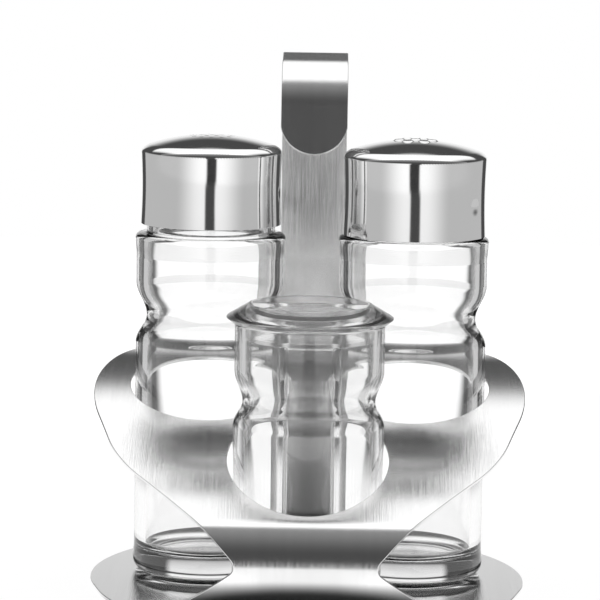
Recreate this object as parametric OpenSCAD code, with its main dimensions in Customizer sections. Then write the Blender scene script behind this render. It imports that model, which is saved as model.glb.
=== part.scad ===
// Table stand for condiments: one bent steel sheet, a strap handle, two shakers and a toothpick jar.
// Millimetres. X is to the right, Y is away from the viewer, Z is up.
// The origin is on the table, under the middle of the round base.

/* [Bent sheet] */
// Thickness of the stand's steel sheet
sheet = 1; // [0.8:0.1:1.2]
// Radius of the round base
base_r = 64.5; // [63.5:0.5:66]
// Outer radius of the bend between the base and the tray
bend_r = 16; // [14:0.5:17]
// Slope of the tray where it leaves the bend, degrees
tray_slope = 30.5; // [28:0.5:32]
// Radius of the tray's long, gentle curve
tray_arc_r = 255; // [240:5:280]
// Slope of the tray where its back part starts to level out, degrees
tray_back_slope = 10; // [8:0.5:11]
// Radius of the tray's outline, seen from above
tray_r = 64.2; // [63:0.1:67]
// From the base's centre back to the centre of the tray's outline
tray_centre_y = 7; // [5:0.5:8]
// From the base's back edge forward to the tray's straight back edge
tray_back_gap = 19.5; // [18:0.5:21]
// Rounding of the tray's two back corners
tray_corner_r = 10; // [4:1:12]

/* [Neck of the sheet] */
// Half the width of the sheet at its narrow neck
neck_half_w = 20.2; // [18:0.2:24]
// Rounding of the neck
neck_round = 2.5; // [1.5:0.5:4]
// Angle of the sheet's edges above the neck, degrees
neck_up_angle = 41; // [38:1:43]
// Angle of the sheet's edges below the neck, degrees
neck_low_angle = 54.5; // [53:0.5:56]
// How far above the front of the bend the neck lies, degrees
neck_turn = 3; // [0:1:6]
// Rounding of the tray's two front shoulders
tray_shoulder_r = 48; // [40:1:50]
// Rounding of the base's two front shoulders
base_shoulder_r = 70; // [60:1:72]

/* [Handle] */
// Width of the handle's strap
strap_w = 20; // [17:0.5:20]
// Thickness of the strap
strap_t = 1.5; // [1.2:0.1:1.8]
// Free space between the tray's back edge and the strap
strap_gap = 6.5; // [6:0.5:8]
// Height of the top of the handle above the table
handle_h = 154.6; // [154:0.2:164]
// Outer radius of the hook's back bend
hook_back_r = 6.5; // [5:0.5:8]
// How far the hook's top slopes down to the front, degrees
hook_top_slope = 11; // [8:1:13]
// Length of the hook's straight top
hook_top_len = 7; // [5:0.5:8]
// Outer radius of the hook's wide front bend
hook_front_r = 21; // [18:1:22]
// Slope of the hook where the wide bend ends, degrees
hook_front_slope = 48; // [44:1:50]
// Outer radius of the bend above the hook's tongue
hook_leg_r = 14; // [12:1:16]
// Slope of the hook's tongue, degrees
hook_leg_slope = 78; // [76:1:80]
// Height of the tip of the hook's tongue above the table
hook_tip_h = 125.3; // [120:0.5:132]
// Length of the strap's foot along the base
foot_len = 15; // [13:0.5:18]
// Inner radius of the bend above the strap's foot
foot_bend_r = 2; // [1.5:0.5:3]
// Radius of a rivet's shank
rivet_r = 1.6; // [1.2:0.1:2]
// Radius of a rivet's low round head
rivet_head_r = 2.8; // [2.4:0.1:3.4]
// Height of a rivet's head
rivet_head_h = 0.9; // [0.7:0.1:1.2]
// Distance between the two rivets
rivet_spacing = 10; // [8:0.5:11]

/* [Shakers] */
// From the middle of the stand out to each shaker
shaker_x = 30.2; // [29.8:0.1:30.6]
// From the base's centre back to both shakers
shaker_y = 10; // [9:0.5:11]
// Radius of a shaker's glass body
glass_r = 22.1; // [21.5:0.1:22.2]
// Radius of the glass at its heel and shoulder, where it is widest
glass_rim_r = 22.4; // [22.2:0.1:22.5]
// Thickness of the glass wall
glass_wall = 3.4; // [2.6:0.1:3.8]
// Thickness of the glass bottom
glass_floor = 6; // [4:0.5:8]
// Height of the shaker's shoulder above its foot
glass_h = 101.6; // [98:0.2:103]
// Rounding of the heel and of the shoulder
glass_round = 3.4; // [2.4:0.2:4]
// Radius of the waist pressed into the glass
waist_r = 18.9; // [18:0.1:20]
// From the shoulder down to the waist's narrowest ring
waist_drop = 24.6; // [22:0.2:31]
// Height of the part of the waist above its narrowest ring
waist_up = 10; // [8:0.5:12]
// Height of the part of the waist below its narrowest ring
waist_low = 8; // [7:0.5:10]
// Radius of the neck under the cap
neck_r = 19.1; // [18.4:0.1:19.2]
// Thickness of the neck's wall
neck_wall = 2.4; // [1.8:0.1:2.8]
// Height of the neck above the shoulder
neck_h = 17.6; // [15:0.2:18]
// Free space between a shaker and the rim of its hole in the tray
shaker_hole_gap = 1; // [0.9:0.1:1.4]

/* [Caps] */
// Thickness of a cap's steel
cap_wall = 0.6; // [0.4:0.1:0.7]
// Outer radius of the left cap
left_cap_r = 20.9; // [20.8:0.1:21.4]
// Height of the left cap's top above the shoulder of its shaker
left_cap_top = 29.2; // [28.6:0.2:31]
// Height of the left cap's lower edge above the shoulder
left_cap_edge = 2.8; // [2:0.2:4]
// Outer radius of the right cap
right_cap_r = 21.3; // [20.9:0.1:21.6]
// Height of the right cap's top above the shoulder of its shaker
right_cap_top = 28.6; // [28.2:0.2:31]
// Height of the right cap's lower edge above the shoulder
right_cap_edge = 0.3; // [0.3:0.1:1.5]
// Radius of the ball that a cap's domed top belongs to
cap_ball_r = 64; // [50:1:80]
// Rounding of the edge of the domed top
cap_round = 3.4; // [2.4:0.2:4]
// How far a cap's side is drawn in at half its height
cap_waist = 0.3; // [0.1:0.05:0.5]
// Radius of the pressed dimples that grip the neck
dimple_r = 2.2; // [1.8:0.1:2.6]
// Depth of a dimple
dimple_d = 0.8; // [0.6:0.05:0.85]
// Height of the dimples above the lower edge of a cap
dimple_h = 9.5; // [8:0.5:11]
// Direction of the left cap's first dimple, degrees from the right
left_dimple_turn = -8; // [-20:1:20]
// Direction of the right cap's first dimple, degrees from the right
right_dimple_turn = -33; // [-50:1:-20]
// Radius of the right cap's sprinkle holes
coarse_hole_r = 1.2; // [0.9:0.05:1.4]
// Distance between the right cap's sprinkle holes
coarse_pitch = 4.9; // [4.4:0.1:5.4]
// Radius of the left cap's finer holes
fine_hole_r = 0.6; // [0.4:0.05:0.8]
// Distance between the left cap's finer holes
fine_pitch = 3; // [2.4:0.1:3.4]

/* [Toothpick jar] */
// Free space between the jar's body and the front of the stand
jar_front_gap = 11; // [11:0.5:12.5]
// Radius of the jar's glass body
jar_r = 21.5; // [20.6:0.1:21.7]
// Radius of the bulge under the jar's waist
jar_bulge_r = 21.8; // [21.7:0.1:22]
// Radius of the jar's waist
jar_waist_r = 19.1; // [18.4:0.1:20]
// From the jar's rim down to its waist's narrowest ring
jar_waist_drop = 22.8; // [20:0.2:27]
// Height of the part of the jar's waist above its narrowest ring
jar_waist_up = 9; // [8:0.5:11]
// Height of the part of the jar's waist below its narrowest ring
jar_waist_low = 7; // [6:0.5:8]
// Height of the jar's rim above its foot
jar_h = 81; // [78:0.5:84]
// Rounding of the jar's heel
jar_heel = 5.6; // [5.4:0.1:6.4]
// Thickness of the jar's wall
jar_wall = 3; // [2.4:0.1:3.4]
// Free space between the jar and the rim of its hole in the tray
jar_hole_gap = 1.5; // [1.2:0.1:1.6]

/* [Jar lid] */
// Radius of the lid's widest edge
lid_r = 23.9; // [23.6:0.1:24.6]
// Height of the lid's widest edge above the jar's rim
lid_edge_h = 1.2; // [1:0.1:2]
// Thickness of the lid's widest edge
lid_edge_t = 0.7; // [0.5:0.1:1]
// Radius of the lid where it rests on the jar's rim
lid_seat_r = 22.3; // [21.8:0.1:22.6]
// Radius of the raised ring on the lid
lid_ring_r = 18; // [17:0.1:19]
// Height of the raised ring above the jar's rim
lid_ring_h = 5.4; // [5:0.1:6]
// Width of the raised ring's top
lid_ring_w = 1.2; // [1:0.1:2]
// Radius of the sunk middle of the lid
lid_sunk_r = 15.4; // [14:0.1:16]
// Height of the sunk middle above the jar's rim
lid_sunk_h = 2.6; // [2.2:0.1:3]
// Thickness of the lid's plastic
lid_wall = 1.4; // [1:0.1:1.6]
// How deep the lid's skirt goes into the jar
lid_skirt = 5; // [4:0.5:7]
// Free space between the lid's skirt and the jar's mouth
lid_fit = 0.05; // [0.03:0.01:0.1]

/* [Hidden] */

// Overrun of every cut
over = 1;
// Smoothness of the round forms, and the angle between two points of a rounded outline, of the
// glass roundings, of the caps, of the sheet's bend and of the tray's gentle curves
$fn = 96;
arc_step = 4;
glass_step = 15;
cap_step = 10;
bend_step = 3;
tray_step = 1;
// Flat length between two rows of the trimming shape on the tray and on the base
row_step = 3;
// Turn between two rows of the trimming shape on the bend, degrees
row_turn = 4;

function polar(r, a) = [r * cos(a), r * sin(a)];
function arc(centre, r, from, to, step = arc_step) =
    let (count = max(2, ceil(abs(to - from) / step)))
    [for (i = [0 : count]) centre + polar(r, from + (to - from) * i / count)];
// Point where the line through p at angle a meets the line through q at angle b
function meet(p, a, q, b) =
    let (u = polar(1, a), v = polar(1, b), w = q - p)
    p + u * (w[0] * v[1] - w[1] * v[0]) / (u[0] * v[1] - u[1] * v[0]);
// Round the corner at p between a line coming in at angle a and a line going out at angle b
function round_corner(p, a, b, r) =
    let (side = sign(sin(b - a)), reach = r * tan(abs(b - a) / 2))
    arc(p - polar(reach, a) + polar(r, a + side * 90), r, a - side * 90, b - side * 90);

// Side view of the sheet. Angles are those of its outer face: 270 on the underside of the base,
// 180 at the front of the bend, and 90 where the tray is level. The front of the bend is as far from
// the base's centre as the base's back edge.
bend_start = base_r - bend_r;
tray_back_y = base_r - tray_back_gap;
bend_c = [-bend_start, bend_r];
bend_end = 90 + tray_slope;
bend_mid_r = bend_r - sheet / 2;
tray_c = bend_c - polar(tray_arc_r - bend_r, bend_end);
tray_mid_r = tray_arc_r - sheet / 2;
level_end = 90 + tray_back_slope;
level_start = tray_c + polar(tray_arc_r, level_end);
level_r = (tray_back_y - level_start[0]) / sin(tray_back_slope);
level_c = level_start - polar(level_r, level_end);
tray_top_z = level_c[1] + level_r;

// Flat lengths along the sheet, from the neck: down to the base is negative, up to the tray positive
neck_at = 180 - neck_turn;
function bend_len(turn) = bend_mid_r * turn * PI / 180;
base_len = bend_len(270 - neck_at);
rise_len = bend_len(neck_at - bend_end);
// Where the blank's straight flanks touch the round base and the round tray
flank_base_angle = 14;
flank_tray_angle = 15.5;
base_touch = polar(base_r, -flank_base_angle);
tray_touch = [0, tray_centre_y] + polar(tray_r, -flank_tray_angle);
base_touch_u = -(base_len + bend_start + base_touch[1]);
tray_touch_angle = acos((tray_touch[1] - tray_c[0]) / tray_mid_r);
tray_touch_u = rise_len + tray_mid_r * (bend_end - tray_touch_angle) * PI / 180;
// Half of the flat blank's outline as points of flat length and half width
neck_p = [0, neck_half_w - neck_round * (1 / cos((neck_up_angle + neck_low_angle) / 2) - 1)];
base_p = meet(neck_p, -neck_low_angle, [base_touch_u, base_touch[0]], -flank_base_angle);
tray_p = meet(neck_p, neck_up_angle, [tray_touch_u, tray_touch[0]], flank_tray_angle);
blank = concat([[base_touch_u, base_touch[0]]],
    round_corner(base_p, -flank_base_angle, -neck_low_angle, base_shoulder_r),
    round_corner(neck_p, -neck_low_angle, neck_up_angle, neck_round),
    round_corner(tray_p, neck_up_angle, flank_tray_angle, tray_shoulder_r),
    [[tray_touch_u, tray_touch[0]]]);

// A row of the trimming shape: place on the sheet's middle, direction of its face, half width
base_rows = ceil((-base_touch_u - base_len) / row_step);
bend_rows = ceil((270 - bend_end) / row_turn);
tray_rows = ceil((tray_touch_u - rise_len) / row_step);
function row(place, turn, u) = [place, turn, lookup(u, blank)];
rows = concat(
    [for (i = [0 : base_rows - 1]) let (u = base_touch_u + (-base_len - base_touch_u) * i / base_rows)
        row([-bend_start - base_len - u, sheet / 2], 270, u)],
    [for (i = [0 : bend_rows]) let (turn = 270 - (270 - bend_end) * i / bend_rows)
        row(bend_c + polar(bend_mid_r, turn), turn, bend_len(neck_at - turn))],
    [for (i = [1 : tray_rows]) let (turn = bend_end - (bend_end - tray_touch_angle) * i / tray_rows)
        row(tray_c + polar(tray_mid_r, turn), turn, rise_len + tray_mid_r * (bend_end - turn) * PI / 180)]);

hole_r = glass_rim_r + shaker_hole_gap;
jar_y = base_r - jar_front_gap - jar_r;
jar_hole_r = jar_bulge_r + jar_hole_gap;

// Places of the handle's bends in the side view, on its outer face
strap_front = tray_back_y + strap_gap;
strap_back = strap_front + strap_t;
hook_back_c = [strap_back - hook_back_r, handle_h - hook_back_r];
hook_top_turn = 90 + hook_top_slope;
hook_top_end = hook_back_c + polar(hook_back_r, hook_top_turn) + polar(hook_top_len, hook_top_turn + 90);
hook_front_c = hook_top_end - polar(hook_front_r, hook_top_turn);
hook_front_turn = 90 + hook_front_slope;
hook_leg_c = hook_front_c + polar(hook_front_r - hook_leg_r, hook_front_turn);
hook_leg_turn = 90 + hook_leg_slope;
hook_leg_top = hook_leg_c + polar(hook_leg_r, hook_leg_turn);
hook_leg_len = (hook_leg_top[1] - hook_tip_h) / sin(hook_leg_slope);
foot_bend_out = foot_bend_r + strap_t;
foot_z = sheet + foot_bend_out;
rivet_y = strap_back - foot_bend_out - (foot_len - foot_bend_out) / 2;
// Radius of the strap's two rounded ends, a little over half its width
end_r_share = 0.51;
strap_end_r = end_r_share * strap_w;

// Heights in a shaker and in the jar, above their feet
waist_h = glass_h - waist_drop;
jar_waist_h = jar_h - jar_waist_drop;
foot_ring_r = glass_rim_r - glass_round - sheet;
foot_hollow_h = glass_floor / 6;
shoulder_r = neck_r + (glass_rim_r - neck_r) / 4;
glass_steps = 24;

// Draw a side view of Y and Z out to both sides by the width w
module side_view(w) rotate([90, 0, 90]) translate([0, 0, -w / 2]) linear_extrude(w) children();

// Side view of the sheet as one outline: its outer face from the base's back edge round the bend and
// up the tray, then its inner face back. d is the depth under the outer face.
function sheet_face(d) = concat(
    [[base_r + over, d]],
    arc(bend_c, bend_r - d, 270, bend_end, bend_step),
    arc(tray_c, tray_arc_r - d, bend_end, level_end, tray_step),
    arc(level_c, level_r - d, level_end, 90, tray_step));
sheet_inner = sheet_face(sheet);
sheet_outline = concat(sheet_face(0), [for (i = [len(sheet_inner) - 1 : -1 : 0]) sheet_inner[i]]);

// Trimming shape that follows the bend, so that the blank's edges stay square to the sheet
module wrapped_blank() {
    count = len(rows);
    points = [for (r = rows, c = [[1, 1], [1, -1], [-1, -1], [-1, 1]])
        let (p = r[0] + polar(c[0] * (sheet / 2 + over), r[1])) [c[1] * r[2], p[0], p[1]]];
    faces = concat([[3, 2, 1, 0]],
        [for (i = [0 : count - 2], k = [0 : 3]) let (a = 4 * i + k, b = 4 * i + (k + 1) % 4) [a, b, a + 4]],
        [for (i = [0 : count - 2], k = [0 : 3]) let (a = 4 * i + k, b = 4 * i + (k + 1) % 4) [b, b + 4, a + 4]],
        [[for (k = [0 : 3]) 4 * (count - 1) + k]]);
    polyhedron(points, faces);
}

// Outline of the round base behind the blank's flanks
module base_outline() intersection() {
    circle(base_r);
    translate([-base_r, base_touch[1]]) square([2 * base_r, 2 * base_r]);
}

// Outline of the tray behind the blank's flanks, with a straight back edge and round corners
module tray_outline() {
    near = tray_touch[1] - sheet / 2;
    corner_c = sqrt(pow(tray_r - tray_corner_r, 2) - pow(tray_back_y - tray_corner_r - tray_centre_y, 2));
    intersection() {
        union() {
            difference() {
                translate([0, tray_centre_y]) circle(tray_r);
                translate([corner_c, tray_back_y - tray_corner_r]) square(tray_r);
                mirror([1, 0]) translate([corner_c, tray_back_y - tray_corner_r]) square(tray_r);
            }
            for (side = [-1, 1]) {
                translate([side * corner_c, tray_back_y - tray_corner_r]) circle(tray_corner_r);
                polygon([[0, tray_centre_y], [side * corner_c, tray_back_y - tray_corner_r],
                    [0, tray_centre_y] + [side * corner_c, tray_back_y - tray_corner_r - tray_centre_y]
                        * tray_r / (tray_r - tray_corner_r),
                    [side * tray_r, tray_centre_y]]);
            }
        }
        translate([-tray_r, near]) square([2 * tray_r, tray_back_y - near]);
    }
}

module stand_sheet() color("silver") difference() {
    intersection() {
        side_view(2 * (tray_r + base_r)) polygon(sheet_outline);
        union() {
            wrapped_blank();
            translate([0, 0, -over]) linear_extrude(sheet + 2 * over) base_outline();
            translate([0, 0, bend_r]) linear_extrude(tray_top_z) tray_outline();
        }
    }
    for (side = [-1, 1])
        translate([side * shaker_x, shaker_y, bend_r]) cylinder(r = hole_r, h = tray_top_z);
    translate([0, -jar_y, bend_r]) cylinder(r = jar_hole_r, h = tray_top_z);
    for (side = [-1, 1])
        translate([side * rivet_spacing / 2, rivet_y, -over]) cylinder(r = rivet_r, h = sheet + 2 * over);
}

// Side view of the strap as one outline: the outer face from the foot's front up and over the hook to
// the tongue, then the inner face back. d is the depth under the outer face.
function strap_face(d) = concat(
    [[strap_back - foot_len - over, sheet + d]],
    arc([strap_back - foot_bend_out, foot_z], foot_bend_out - d, 270, 360, glass_step),
    arc(hook_back_c, hook_back_r - d, 0, hook_top_turn),
    arc(hook_front_c, hook_front_r - d, hook_top_turn, hook_front_turn),
    arc(hook_leg_c, hook_leg_r - d, hook_front_turn, hook_leg_turn),
    [hook_leg_top - polar(d, hook_leg_turn) + polar(hook_leg_len + over, hook_leg_turn + 90)]);
strap_inner = strap_face(strap_t);
strap_outline = concat(strap_face(0), [for (i = [len(strap_inner) - 1 : -1 : 0]) strap_inner[i]]);

module handle_strap() color("lightgray") difference() {
    side_view(strap_w) polygon(strap_outline);
    translate([0, hook_leg_top[0], hook_leg_top[1]]) rotate([hook_leg_slope, 0, 0])
        translate([0, strap_end_r - hook_leg_len, -strap_t]) end_cutter();
    translate([0, strap_back - foot_len + strap_end_r, sheet]) end_cutter();
    for (side = [-1, 1])
        translate([side * rivet_spacing / 2, rivet_y, 0]) cylinder(r = rivet_r, h = foot_z);
}

// What is cut away to round an end of the strap
module end_cutter() translate([0, 0, -over]) linear_extrude(strap_t + 2 * over) difference() {
    translate([-strap_w, -2 * strap_w]) square(2 * strap_w);
    circle(strap_end_r);
}

module handle_rivets() color("gray") for (side = [-1, 1])
    translate([side * rivet_spacing / 2, rivet_y, 0]) {
        cylinder(r = rivet_r, h = sheet + strap_t);
        translate([0, 0, sheet + strap_t]) rivet_head();
    }

// Low round head: the top of a ball whose radius follows from the head's height and width
module rivet_head() {
    ball = (pow(rivet_head_r, 2) + pow(rivet_head_h, 2)) / (2 * rivet_head_h);
    rotate_extrude() intersection() {
        translate([0, rivet_head_h - ball]) circle(ball);
        square([rivet_head_r, rivet_head_h]);
    }
}

// How far a pressed waist draws the glass in at height z: a smooth dip, longer above than below
function dip(z, at, up, low, depth) =
    let (t = z > at ? (z - at) / up : (at - z) / low)
    t >= 1 ? 0 : depth * (1 + cos(180 * t)) / 2;

// Outline of a shaker's wall, foot ring to neck and back down the inside
function shaker_wall(z) = glass_r - dip(z, waist_h, waist_up, waist_low, glass_r - waist_r);
function spread(from, to, count) = [for (i = [0 : count]) from + (to - from) * i / count];
heel_top = 2.4 * glass_round;
rim_low = glass_h - 2 * glass_round;
shaker_outline = concat(
    [[0, foot_hollow_h], [foot_ring_r - sheet, foot_hollow_h], [foot_ring_r, 0]],
    arc([glass_rim_r - glass_round, glass_round], glass_round, -90, 0, glass_step),
    [for (t = spread(0, 1, 6)) [glass_rim_r + (glass_r - glass_rim_r) * (1 - cos(180 * t)) / 2,
        glass_round + (heel_top - glass_round) * (1 + t) / 2]],
    [for (z = spread(waist_h - waist_low, waist_h, glass_steps)) [shaker_wall(z), z]],
    [for (z = spread(waist_h, waist_h + waist_up, glass_steps)) if (z > waist_h) [shaker_wall(z), z]],
    [for (t = spread(0, 1, 6)) [glass_r + (glass_rim_r - glass_r) * (1 - cos(180 * t)) / 2,
        rim_low + (glass_h - glass_round - rim_low) * t]],
    arc([glass_rim_r - glass_round, glass_h - glass_round], glass_round, cap_step, 90 - cap_step, cap_step),
    [[shoulder_r, glass_h], [neck_r, glass_h + (shoulder_r - neck_r) / 2]],
    arc([neck_r - neck_wall / 2, glass_h + neck_h - neck_wall / 2], neck_wall / 2, 0, 180, glass_step),
    [[neck_r - neck_wall, glass_h]],
    [for (a = spread(0, 90, 6)) [neck_r - neck_wall + (glass_r - glass_wall - neck_r + neck_wall)
        * (1 - cos(a)), glass_h - glass_wall * sin(a)]],
    [for (z = spread(waist_h + waist_up, waist_h - waist_low, glass_steps)) [shaker_wall(z) - glass_wall, z]],
    arc([glass_r - glass_wall - glass_round, glass_floor + glass_round], glass_round, 0, -90, glass_step),
    [[0, glass_floor]]);

module glass_bottle(side) color("lightcyan", 0.5)
    translate([side * shaker_x, shaker_y, sheet]) rotate_extrude() polygon(shaker_outline);

module left_bottle() glass_bottle(-1);
module right_bottle() glass_bottle(1);

// Outline of a cap as a thin shell: straight side with a slight waist, rounded edge, domed top. The
// rounding touches the side and the ball.
function cap_side(r, h, z) = r - cap_waist * sin(180 * min(1, z / h));
function cap_drop(r) = cap_ball_r - sqrt(pow(cap_ball_r - cap_round, 2) - pow(r - cap_round, 2));
function cap_outline(r, h, in) =
    let (side_h = h - cap_drop(r), lean = asin((r - cap_round) / (cap_ball_r - cap_round)))
    concat(
        [for (z = spread(0, side_h, 10)) [cap_side(r, side_h, z) - in, z]],
        arc([r - cap_round, side_h], cap_round - in, 0, 90 - lean, cap_step),
        [for (a = spread(lean, 0, 12)) if (a < lean) [0, h - cap_ball_r] + (cap_ball_r - in) * [sin(a), cos(a)]]);

// Shell of radius r from its lower edge up to h, with two dimples and rings of sprinkle holes
module steel_cap(r, h, turn) {
    outside = cap_outline(r, h, 0);
    inside = cap_outline(r, h, cap_wall);
    dent_c = r - cap_waist - dimple_d + dimple_r;
    difference() {
        union() {
            rotate_extrude() polygon(concat(outside, [for (i = [len(inside) - 1 : -1 : 0]) inside[i]]));
            intersection() {
                for (a = [turn, turn + 180]) rotate(a) translate([dent_c, 0, dimple_h]) sphere(dimple_r + cap_wall);
                translate([0, 0, dimple_h - 2 * dimple_r]) cylinder(r = r - cap_waist - cap_wall / 2, h = 4 * dimple_r);
            }
        }
        for (a = [turn, turn + 180]) rotate(a) translate([dent_c, 0, dimple_h]) sphere(dimple_r);
        children();
    }
}

// Rings of holes: one in the middle, then six more in each ring
module sprinkle_holes(r, pitch, rings, h) for (ring = [0 : rings], k = [0 : max(0, 6 * ring - 1)])
    rotate(k * 60 / max(1, ring)) translate([pitch * ring, 0, h - 2 * cap_round])
        cylinder(r = r, h = 2 * cap_round + over, $fn = 24);

module left_cap() color("gainsboro") translate([-shaker_x, shaker_y, sheet + glass_h + left_cap_edge])
    steel_cap(left_cap_r, left_cap_top - left_cap_edge, left_dimple_turn)
        sprinkle_holes(fine_hole_r, fine_pitch, 2, left_cap_top - left_cap_edge);

module right_cap() color("gainsboro") translate([shaker_x, shaker_y, sheet + glass_h + right_cap_edge])
    steel_cap(right_cap_r, right_cap_top - right_cap_edge, right_dimple_turn)
        sprinkle_holes(coarse_hole_r, coarse_pitch, 1, right_cap_top - right_cap_edge);

// Outline of the jar's wall: foot, bulge under the waist, straight mouth
function jar_wall_at(z) =
    let (swell = dip(z, jar_waist_h - jar_waist_low, jar_waist_low, 2 * jar_waist_low, jar_bulge_r - jar_r))
    jar_r + swell - dip(z, jar_waist_h, jar_waist_up, jar_waist_low, jar_r - jar_waist_r);
jar_low = jar_waist_h - 3 * jar_waist_low;
jar_mouth_r = jar_r - jar_wall;
jar_outline = concat(
    [[0, foot_hollow_h], [jar_r - jar_heel - 2 * sheet, foot_hollow_h], [jar_r - jar_heel - sheet, 0]],
    arc([jar_r - jar_heel, jar_heel], jar_heel, -90, 0, glass_step),
    [for (z = spread(jar_low, jar_waist_h + jar_waist_up, 2 * glass_steps)) [jar_wall_at(z), z]],
    arc([jar_r - jar_wall / 4, jar_h - jar_wall / 4], jar_wall / 4, 0, 90, 2 * glass_step),
    arc([jar_mouth_r + jar_wall / 4, jar_h - jar_wall / 4], jar_wall / 4, 90, 180, 2 * glass_step),
    [for (z = spread(jar_waist_h + jar_waist_up, jar_low, 2 * glass_steps)) [jar_wall_at(z) - jar_wall, z]],
    arc([jar_mouth_r - glass_round, glass_floor + glass_round], glass_round, 0, -90, glass_step),
    [[0, glass_floor]]);

module toothpick_jar() color("lightcyan", 0.5)
    translate([0, -jar_y, sheet]) rotate_extrude() polygon(jar_outline);

module jar_lid() color("whitesmoke", 0.6) translate([0, -jar_y, sheet + jar_h]) {
    skirt_r = jar_mouth_r - lid_fit;
    rotate_extrude() polygon(concat(
        [[0, lid_sunk_h - lid_wall], [skirt_r - 2 * lid_wall, lid_sunk_h - lid_wall],
         [skirt_r - lid_wall, lid_sunk_h - 2 * lid_wall], [skirt_r - lid_wall, -lid_skirt],
         [skirt_r - lid_wall / 3, -lid_skirt], [skirt_r, lid_wall - lid_skirt],
         [skirt_r, 0], [lid_seat_r, 0], [lid_r, lid_edge_h], [lid_r, lid_edge_h + lid_edge_t]],
        arc([lid_ring_r - lid_ring_w / 2, lid_ring_h - lid_ring_w / 2], lid_ring_w / 2, 45, 150, glass_step),
        [[lid_sunk_r, lid_sunk_h], [0, lid_sunk_h]]));
}

stand_sheet();
handle_strap();
handle_rivets();
left_bottle();
right_bottle();
left_cap();
right_cap();
toothpick_jar();
jar_lid();
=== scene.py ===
import math
import bpy
import numpy as np
from mathutils import Euler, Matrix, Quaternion
from mathutils.geometry import delaunay_2d_cdt


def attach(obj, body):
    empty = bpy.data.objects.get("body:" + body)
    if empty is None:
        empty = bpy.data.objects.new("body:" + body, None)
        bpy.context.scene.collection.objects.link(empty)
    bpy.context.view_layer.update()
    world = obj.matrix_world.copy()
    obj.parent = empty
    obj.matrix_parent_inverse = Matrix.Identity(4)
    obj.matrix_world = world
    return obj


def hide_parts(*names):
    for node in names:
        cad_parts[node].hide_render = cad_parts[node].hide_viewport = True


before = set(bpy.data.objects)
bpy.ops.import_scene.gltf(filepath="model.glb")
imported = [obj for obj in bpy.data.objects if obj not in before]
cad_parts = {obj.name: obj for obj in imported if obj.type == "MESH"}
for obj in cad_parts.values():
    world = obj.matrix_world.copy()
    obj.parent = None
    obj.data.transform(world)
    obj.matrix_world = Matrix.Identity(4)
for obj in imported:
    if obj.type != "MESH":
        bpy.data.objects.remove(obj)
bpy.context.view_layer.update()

# Studio
# The stand is photographed with a long lens from a little above, on a white table before a white
# backdrop. A broad soft panel hangs overhead, low white boards stand in front and beside, and the rest
# of the room is dark, so steel and glass show crisp bands.

camera_at = (0.0048, -0.9243, 0.2074)
camera_pitch, camera_turn, camera_roll = 7.6, 0.5, 0.9
lens_px, picture_px, far_clip = 3158, 600, 20

camera = bpy.data.objects.new("camera", bpy.data.cameras.new("camera"))
camera.data.lens = camera.data.sensor_width * lens_px / picture_px
camera.data.clip_end = far_clip
camera.location = camera_at
camera.rotation_mode = "QUATERNION"
camera_aim = Euler((math.radians(90 - camera_pitch), 0, math.radians(camera_turn))).to_quaternion()
camera.rotation_quaternion = camera_aim @ Quaternion((0, 0, 1), math.radians(camera_roll))
bpy.context.collection.objects.link(camera)
bpy.context.scene.camera = camera
bpy.context.scene.view_settings.view_transform = "Standard"


class Wire:
    """An output of a shader node. Arithmetic on it adds Math nodes, and node() adds any other node."""

    def __init__(self, tree, socket=None):
        self.tree, self.socket = tree, socket

    def node(self, kind, values=None, out=0, **settings):
        """Add a node: its settings first, then the values or links of its sockets."""
        made = self.tree.nodes.new("ShaderNode" + kind)
        for key, value in settings.items():
            setattr(made, key, value)
        for key, value in (values or {}).items():
            if isinstance(value, Wire):
                self.tree.links.new(value.socket, made.inputs[key])
            else:
                made.inputs[key].default_value = value
        return Wire(self.tree, made.outputs[out])

    def math(self, operation, *others):
        """A Math node on this wire and others."""
        return self.node("Math", dict(enumerate([self, *others])), operation=operation)

    def parts(self):
        """The three numbers of a vector."""
        split = self.node("SeparateXYZ", {0: self}).socket.node
        return [Wire(self.tree, socket) for socket in split.outputs]

    def rise(self, start, end):
        """0 below start, 1 above end, and a smooth step between them."""
        return self.node("MapRange", {"Value": self, "From Min": start, "From Max": end},
                         interpolation_type="SMOOTHSTEP")

    def within(self, low, high, soft):
        """1 between low and high, 0 outside, and a smooth step of twice soft at each end."""
        return self.rise(low - soft, low + soft) * (1 - self.rise(high - soft, high + soft))

    def most(self, other):
        """The greater of the two."""
        return self.math("MAXIMUM", other)

    def __add__(self, other):
        return self.math("ADD", other)

    def __radd__(self, other):
        return self.math("ADD", other)

    def __sub__(self, other):
        return self.math("SUBTRACT", other)

    def __rsub__(self, other):
        number = self.tree.nodes.new("ShaderNodeValue")
        number.outputs[0].default_value = other
        return Wire(self.tree, number.outputs[0]).math("SUBTRACT", self)

    def __mul__(self, other):
        return self.math("MULTIPLY", other)

    def __rmul__(self, other):
        return self.math("MULTIPLY", other)

    def __neg__(self):
        return self.math("MULTIPLY", -1)


def fresh_tree(owner, output):
    """An empty node tree with its output node; returns a wire to add nodes with, and the output."""
    owner.use_nodes = True
    owner.node_tree.nodes.clear()
    return Wire(owner.node_tree), owner.node_tree.nodes.new(output)


def ray(shader, kind):
    """1 for a ray of that kind and 0 for any other."""
    outputs = shader.node("LightPath").socket.node.outputs
    return Wire(shader.tree, outputs[f"Is {kind} Ray"])


def from_front(across, away):
    """The angle in degrees from the camera's side to a direction: 0 in front, 180 at the back."""
    return across.math("ARCTAN2", -away) * (180 / math.pi)


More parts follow.
